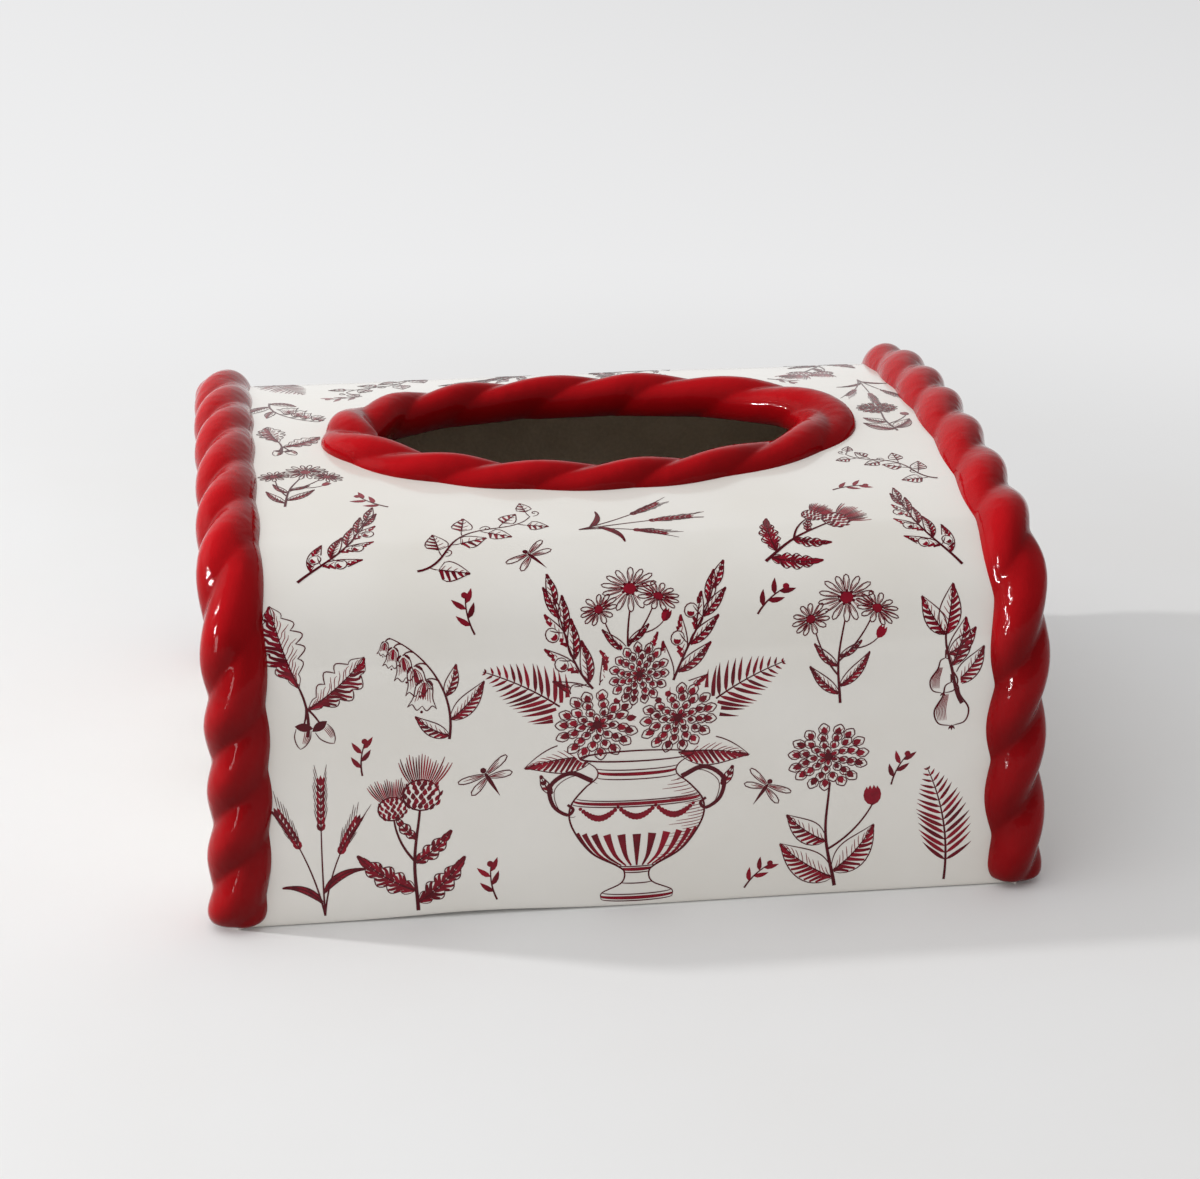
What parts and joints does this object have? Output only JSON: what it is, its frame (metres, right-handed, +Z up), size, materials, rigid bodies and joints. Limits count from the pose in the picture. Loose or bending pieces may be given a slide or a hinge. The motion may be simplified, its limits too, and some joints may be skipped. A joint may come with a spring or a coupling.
{
  "type": "tissue box cover",
  "caption": "Glazed ceramic barrel-vault cover for a pack of tissues, with twisted rope trims on its arched corners and round its oval mouth, open underneath.",
  "frame": {"origin": "centre of the open underside, on the table", "axes": "+X along the vault from the left end to the right end, -Y to the front, +Z up"},
  "size_m": [0.2447, 0.2197, 0.1198],
  "materials": {
    "white_glaze": "glossy off-white glaze with a crimson transfer print outside, bare buff clay inside",
    "red_glaze": "glossy deep red glaze, thinner and lighter on the ridges"
  },
  "bodies": {
    "root": {"vault_shell": "white_glaze", "left_end_wall": "white_glaze", "right_end_wall": "white_glaze", "left_rope_trim": "red_glaze", "right_rope_trim": "red_glaze", "opening_rope_rim": "red_glaze"}
  },
  "joints": []
}
